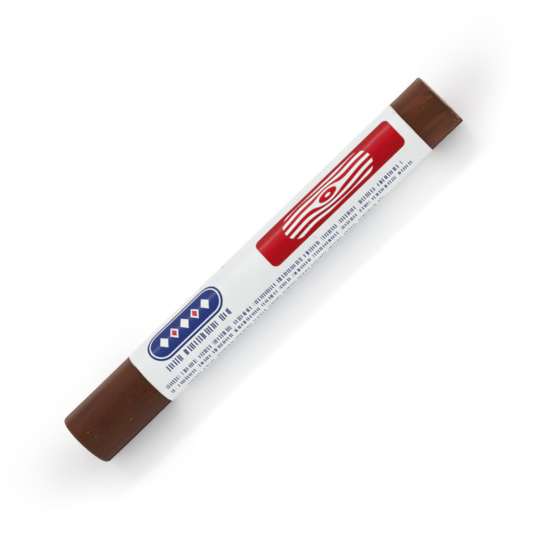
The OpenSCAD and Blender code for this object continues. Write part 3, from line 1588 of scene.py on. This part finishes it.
    def outer_radius(self, x: np.ndarray, deg: np.ndarray) -> np.ndarray:
        """Works out the printed side, with the climb, the cockling and the lifted edges.

        Args:
            x: Place of each row along the stick.
            deg: Angle of each column.

        Returns:
            Radius at each point.
        """
        climb = smooth(deg, self.climb_from_deg, self.whole_turn_deg) * (self.thickness + self.glue)
        to_edge = np.minimum(x - self.bar.label_from, self.bar.label_to - x)
        near_edge = np.clip(1 - to_edge / self.edge_reach, 0, 1) ** 2
        first, second = (np.radians(turns * deg) for turns in self.lift_turns)
        swing = np.sin(first + math.radians(self.lift_start_deg)) * np.sin(second)
        raised = self.lift_mean + self.lift_swing * swing
        lift = self.cockle.at(x, deg) + self.edge_lift * near_edge * raised
        free = window(deg, self.free_rise, self.free_fall)
        tail = smooth(deg - self.outer_end_deg, *self.tail_from_deg)
        return self.bar.label_radius + climb + free * lift + self.tail_lift * tail

    def edge_shift(self, x: np.ndarray, deg: np.ndarray) -> np.ndarray:
        """Moves both cut edges by their lean and by the slight waver of the knife.

        Args:
            x: Place of each row along the stick.
            deg: Angle of each column.

        Returns:
            Shift of each point along the stick.
        """
        share = (x - self.bar.label_from) / (self.bar.label_to - self.bar.label_from)
        across = self.bar.radius * np.sin(from_print(deg))
        waver = self.edge_wave.at(np.zeros_like(deg), deg)
        foot = self.foot_trim * smooth(across, *self.foot_across)
        jog = self.jog * window(across, self.jog_rise, self.jog_fall)
        left = (self.left_trim + foot - jog) * (1 - share)
        return left + self.right_skew * across * share + waver * (1 - 2 * share)

    def close(self, skin: Skin, flat: np.ndarray) -> None:
        """Closes the sheet between its two sides along both cut edges.

        Args:
            skin: Mesh that holds the grid of points.
            flat: Flat map of the points, with one column more to close the last cell.
        """
        columns = flat.shape[1] - 1
        for row in (0, flat.shape[0] - 1):
            for column in range(columns // 2 - 1):
                ring = [column, column + 1, columns - 2 - column, columns - 1 - column]
                corners = [row * columns + c for c in ring]
                skin.add_face(corners, [tuple(flat[row, c]) for c in ring], slot=1)


@dataclass
class LapGlue:
    """Strip of dried glue under the lap: the CAD solid in its own finish.

    Attributes:
        finish: Finish of the glue.
    """

    finish: DriedGlue = field(default_factory=DriedGlue)

    def make(self) -> bpy.types.Object:
        """Dresses the CAD node.

        Returns:
            The strip.
        """
        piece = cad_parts["lap_glue"]
        piece.data.materials.clear()
        piece.data.materials.append(self.finish.build())
        return piece


@dataclass(frozen=True)
class Softbox:
    """Rectangular lamp behind diffusing cloth, aimed at the stick.

    Attributes:
        name: Name of the lamp.
        towards: Direction from the stick to the lamp.
        distance: Distance of the lamp, in metres.
        width: Width along the stick or across the view, in metres.
        height: Height, in metres.
        watts: Power of the lamp.
    """

    name: str
    towards: tuple[float, float, float]
    distance: float
    width: float
    height: float
    watts: float

    def hang(self, aim: Vector) -> None:
        """Adds the lamp to the scene.

        Args:
            aim: Point that the lamp faces.
        """
        lamp = bpy.data.lights.new(self.name, "AREA")
        lamp.shape = "RECTANGLE"
        lamp.size = self.width
        lamp.size_y = self.height
        lamp.energy = self.watts
        holder = bpy.data.objects.new(self.name, lamp)
        direction = Vector(self.towards).normalized()
        holder.location = aim + direction * self.distance
        holder.rotation_euler = direction.to_track_quat("Z", "Y").to_euler()
        bpy.context.scene.collection.objects.link(holder)


@dataclass(frozen=True)
class WhiteLaminate:
    """White laminate table top, pressed with a matt face.

    It is an even, slightly grey white with hardly any gloss. The camera and reflections see it
    lifted a little towards white, as the ground of a product picture is, and that adds nothing to
    the light that it throws up on the stick.

    Attributes:
        name: Name of the material.
        face: Colour as sRGB hex.
        roughness: Roughness of the face.
        specular: Strength of its gloss.
        lift: Light that is added for the eye.
        lift_colour: Colour of that light as sRGB hex.
        lifted_rays: Kinds of rays that see the light.
    """

    name: str = "white_laminate_matt"
    face: str = "#f4f4f4"
    roughness: float = 0.9
    specular: float = 0.1
    lift: float = 0.17
    lift_colour: str = "#ffffff"
    lifted_rays: tuple[str, ...] = ("Camera", "Glossy", "Transmission")

    def build(self) -> bpy.types.Material:
        """Builds the material for the table top.

        Returns:
            The material.
        """
        material, add = blank_material(self.name)
        seen: Socket | float = 0.0
        for kind in self.lifted_rays:
            seen = add("Math MAXIMUM", seen, add("LightPath", out=f"Is {kind} Ray"))
        look = {
            "Base Color": linear(self.face),
            "Roughness": self.roughness,
            "Specular IOR Level": self.specular,
            "Emission Color": linear(self.lift_colour),
            "Emission Strength": add("Math MULTIPLY", seen, self.lift),
        }
        add("OutputMaterial", add("BsdfPrincipled", at=look))
        return material


@dataclass
class Studio:
    """White table under soft light, and the camera that looks down on the print.

    The camera stands on the print's side at an elevation of 60 degrees, beyond the cut end, and is
    rolled so that the stick rises to the right.

    Attributes:
        bar: Sizes of the stick.
        table: Finish of the table top.
        table_side: Side of the square table top, in metres.
        elevation_deg: Elevation of the camera.
        distance: Distance of the camera from the stick's centre line.
        stand_x: Place of the camera along the stick.
        stand_side: Place of the camera towards the print's foot.
        yaw_deg: Turn of the camera back towards the moulded end.
        roll_deg: Roll of the camera.
        view_deg: Angle of view.
        sensor: Width of the sensor, in millimetres.
        clip: Nearest and farthest distance that the camera sees, in metres.
        sky: Colour of the soft light all round, as sRGB hex.
        lens_side: Colour of the dark round the lens.
        dark_from_deg: Angle from the lens at which the dark sets in.
        dark_full_deg: Angle from the lens at which it is full.
        lamps: Lamps round the stick.
    """

    bar: Bar
    table: WhiteLaminate = WhiteLaminate()
    table_side: float = 6.0
    elevation_deg: float = 60.0
    distance: float = 719.8 * MM
    stand_x: float = 50.32 * MM
    stand_side: float = 0.85 * MM
    yaw_deg: float = 3.914
    roll_deg: float = 43.96
    view_deg: float = 7.641
    sensor: float = 36.0
    clip: tuple[float, float] = (0.05, 50.0)
    sky: str = "#dadada"
    lens_side: str = "#2a2a2a"
    dark_from_deg: float = 55.0
    dark_full_deg: float = 15.0
    lamps: tuple[Softbox, ...] = (
        Softbox("strip_softbox", (0.05, 0.73, 1.12), 1.2, 1.0, 0.17, 2.6),
        Softbox("high_softbox_cut_end", (1.0, -0.10, 0.75), 1.3, 0.9, 0.9, 3.9),
        Softbox("high_softbox_moulded_end", (-1.0, -0.10, 0.75), 1.3, 0.9, 0.9, 3.9),
        Softbox("low_softbox_cut_end", (1.0, -0.5, 0.30), 1.3, 0.9, 0.6, 4.7),
        Softbox("low_softbox_moulded_end", (-1.0, -0.5, 0.30), 1.3, 0.9, 0.6, 4.7),
    )

    def build(self) -> None:
        """Sets up the table, the lamps, the surrounding light and the camera."""
        bpy.context.scene.view_settings.view_transform = "Standard"
        self.lay_table()
        self.light_room()
        for lamp in self.lamps:
            lamp.hang(Vector((0, 0, self.bar.axis_height)))
        self.place_camera()

    def lay_table(self) -> None:
        """Lays a matt white table top under the stick."""
        half = self.table_side / 2
        mesh = bpy.data.meshes.new("table_top")
        corners = [(-half, -half, 0), (half, -half, 0), (half, half, 0), (-half, half, 0)]
        mesh.from_pydata(corners, [], [(0, 1, 2, 3)])
        mesh.materials.append(self.table.build())
        top = bpy.data.objects.new("table_top", mesh)
        bpy.context.scene.collection.objects.link(top)

    def light_room(self) -> None:
        """Lights the room softly, and keeps it dark round the lens so that colours stay deep."""
        world = bpy.data.worlds.new("studio_room")
        world.use_nodes = True
        world.node_tree.nodes.clear()
        add = partial(add_node, world.node_tree)
        direction = add("TexCoord", out="Generated")
        facing = add("VectorMath DOT_PRODUCT", direction, self.to_camera, out="Value")
        ramp = (math.cos(math.radians(deg)) for deg in (self.dark_from_deg, self.dark_full_deg))
        colour = Glaze(self.lens_side, *ramp).lay(add, facing, linear(self.sky), **SOFT)
        add("OutputWorld", add("Background", colour, 1.0))
        bpy.context.scene.world = world

    @property
    def to_camera(self) -> Vector:
        """Direction from the stick up to the camera."""
        turn = math.radians(self.elevation_deg)
        return Vector((0, -math.cos(turn), math.sin(turn)))

    def place_camera(self) -> None:
        """Places the camera where the photograph was taken from."""
        along = Vector((1, 0, 0))
        foot = along.cross(self.to_camera)
        yaw, roll = math.radians(self.yaw_deg), math.radians(self.roll_deg)
        back = math.cos(yaw) * self.to_camera + math.sin(yaw) * along
        level = math.cos(yaw) * along - math.sin(yaw) * self.to_camera
        right = math.cos(roll) * level + math.sin(roll) * foot
        up = math.sin(roll) * level - math.cos(roll) * foot
        lens = bpy.data.cameras.new("camera")
        lens.sensor_width = self.sensor
        lens.lens = self.sensor / 2 / math.tan(math.radians(self.view_deg) / 2)
        lens.clip_start, lens.clip_end = self.clip
        camera = bpy.data.objects.new("camera", lens)
        stand = Vector((self.stand_x, 0, self.bar.axis_height))
        stand += self.distance * self.to_camera + self.stand_side * foot
        facing = Matrix((right, up, back)).transposed().to_4x4()
        camera.matrix_world = Matrix.Translation(stand) @ facing
        bpy.context.scene.collection.objects.link(camera)
        bpy.context.scene.camera = camera


def main() -> None:
    """Builds the studio and every piece of the stick, and reports each piece."""
    logging.basicConfig(level=logging.INFO, format="%(name)s: %(message)s")
    bar = Bar.from_frame()
    Studio(bar).build()
    for part in (WaxBar(bar), WrapLabel(bar), LapGlue()):
        piece = part.make()
        LOG.info("%s: %d faces", piece.name, len(piece.data.polygons))


if __name__ == "__main__":
    main()
